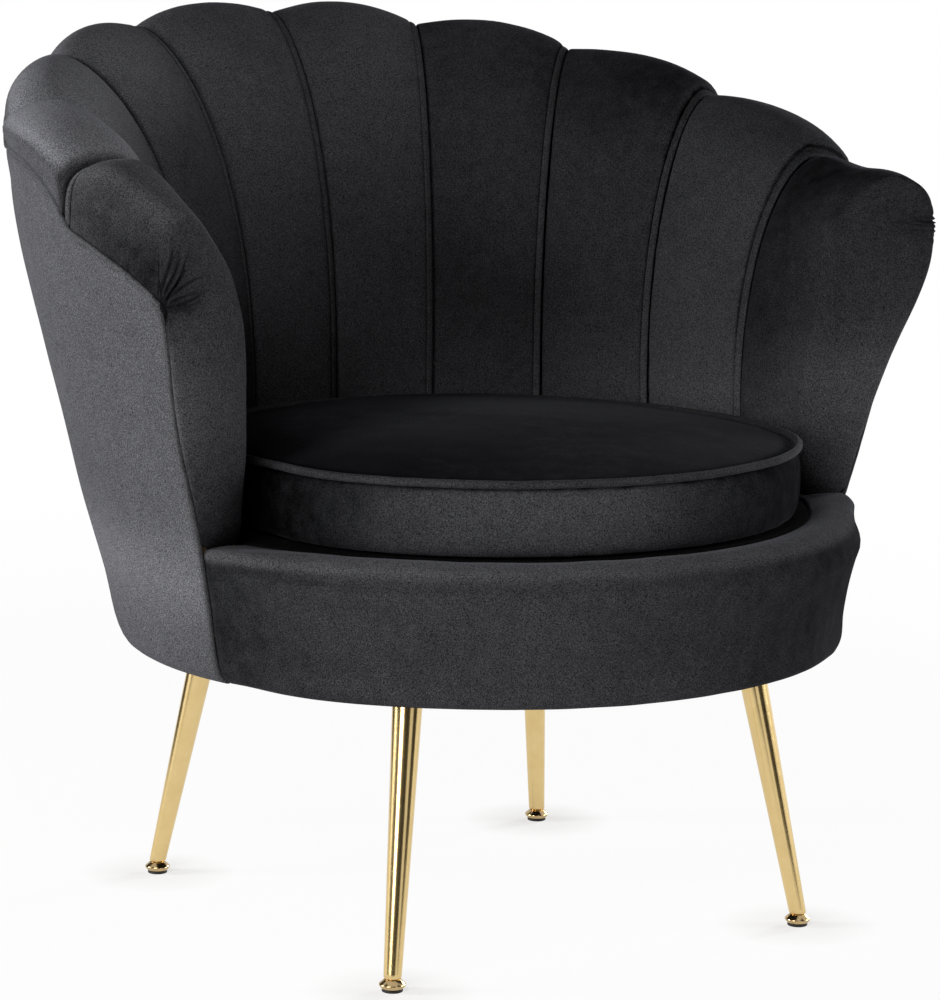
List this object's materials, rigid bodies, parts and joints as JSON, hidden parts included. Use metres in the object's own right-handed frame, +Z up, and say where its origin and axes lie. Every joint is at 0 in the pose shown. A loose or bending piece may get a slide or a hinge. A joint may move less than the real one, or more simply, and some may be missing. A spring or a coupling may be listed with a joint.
{
  "type": "tub armchair",
  "caption": "Upholstered tub armchair with a channelled, scalloped shell back, round drum base, loose round seat cushion and splayed tapered metal legs.",
  "frame": {"origin": "on the floor, under the middle of the chair's overall width and depth, in metres", "axes": "+Z up; -Y is the way the sitter faces; +X is to the right for someone who looks at the chair's front"},
  "size_m": [0.8232, 0.7502, 0.7842],
  "materials": {
    "velvet": "short-pile charcoal black velvet with a pale nap at grazing angles",
    "velvet_piping": "the same black velvet drawn over a cord",
    "lining": "dull black lining cloth",
    "foam": "cream seat foam under its cover",
    "wood": "raw plywood and softwood, hidden under the upholstery",
    "webbing": "woven elastic seat webbing",
    "gold": "polished gold-coloured plating, bright and smooth",
    "steel": "zinc-plated fixings",
    "rubber": "matt black foot pad"
  },
  "bodies": {
    "frame": {"petal_01": "velvet", "petal_02": "velvet", "petal_03": "velvet", "petal_04": "velvet", "petal_05": "velvet", "petal_06": "velvet", "petal_07": "velvet", "petal_08": "velvet", "petal_09": "velvet", "petal_10": "velvet", "outer_cover": "velvet", "arm_roll_left": "velvet", "arm_roll_right": "velvet", "front_band": "velvet", "scallop_welt": "velvet_piping", "arm_welt_left": "velvet_piping", "arm_welt_right": "velvet_piping", "top_rail": "wood", "inner_panel": "wood", "back_rib_1": "wood", "back_rib_2": "wood", "back_rib_3": "wood", "back_rib_4": "wood", "arm_post_left": "wood", "arm_post_right": "wood", "base_board": "wood", "drum_wall": "wood", "deck_board": "wood", "webbing_1": "webbing", "webbing_2": "webbing", "webbing_3": "webbing", "deck_pad": "lining", "underside_cloth": "lining", "leg_front_left": "gold", "leg_plate_front_left": "steel", "leg_bolt_front_left": "steel", "leg_front_right": "gold", "leg_plate_front_right": "steel", "leg_bolt_front_right": "steel", "leg_rear_right": "gold", "leg_plate_rear_right": "steel", "leg_bolt_rear_right": "steel", "leg_rear_left": "gold", "leg_plate_rear_left": "steel", "leg_bolt_rear_left": "steel"},
    "seat_cushion": {"cushion_core": "foam", "cushion_top": "velvet", "cushion_boxing": "velvet", "cushion_bottom": "lining", "cushion_piping": "velvet_piping"},
    "glide_front_left": {"glide_front_left": "gold", "glide_pad_front_left": "rubber"},
    "glide_front_right": {"glide_front_right": "gold", "glide_pad_front_right": "rubber"},
    "glide_rear_right": {"glide_rear_right": "gold", "glide_pad_rear_right": "rubber"},
    "glide_rear_left": {"glide_rear_left": "gold", "glide_pad_rear_left": "rubber"}
  },
  "joints": [
    {"name": "cushion_lift", "type": "slide", "parent": "frame", "child": "seat_cushion", "axis": [0, 0, 1], "range_m": [0, 0.4]},
    {"name": "leveller_front_left", "type": "slide", "parent": "frame", "child": "glide_front_left", "axis": [0, 0, -1], "range_m": [0, 0.008]},
    {"name": "leveller_front_right", "type": "slide", "parent": "frame", "child": "glide_front_right", "axis": [0, 0, -1], "range_m": [0, 0.008]},
    {"name": "leveller_rear_right", "type": "slide", "parent": "frame", "child": "glide_rear_right", "axis": [0, 0, -1], "range_m": [0, 0.008]},
    {"name": "leveller_rear_left", "type": "slide", "parent": "frame", "child": "glide_rear_left", "axis": [0, 0, -1], "range_m": [0, 0.008]}
  ]
}
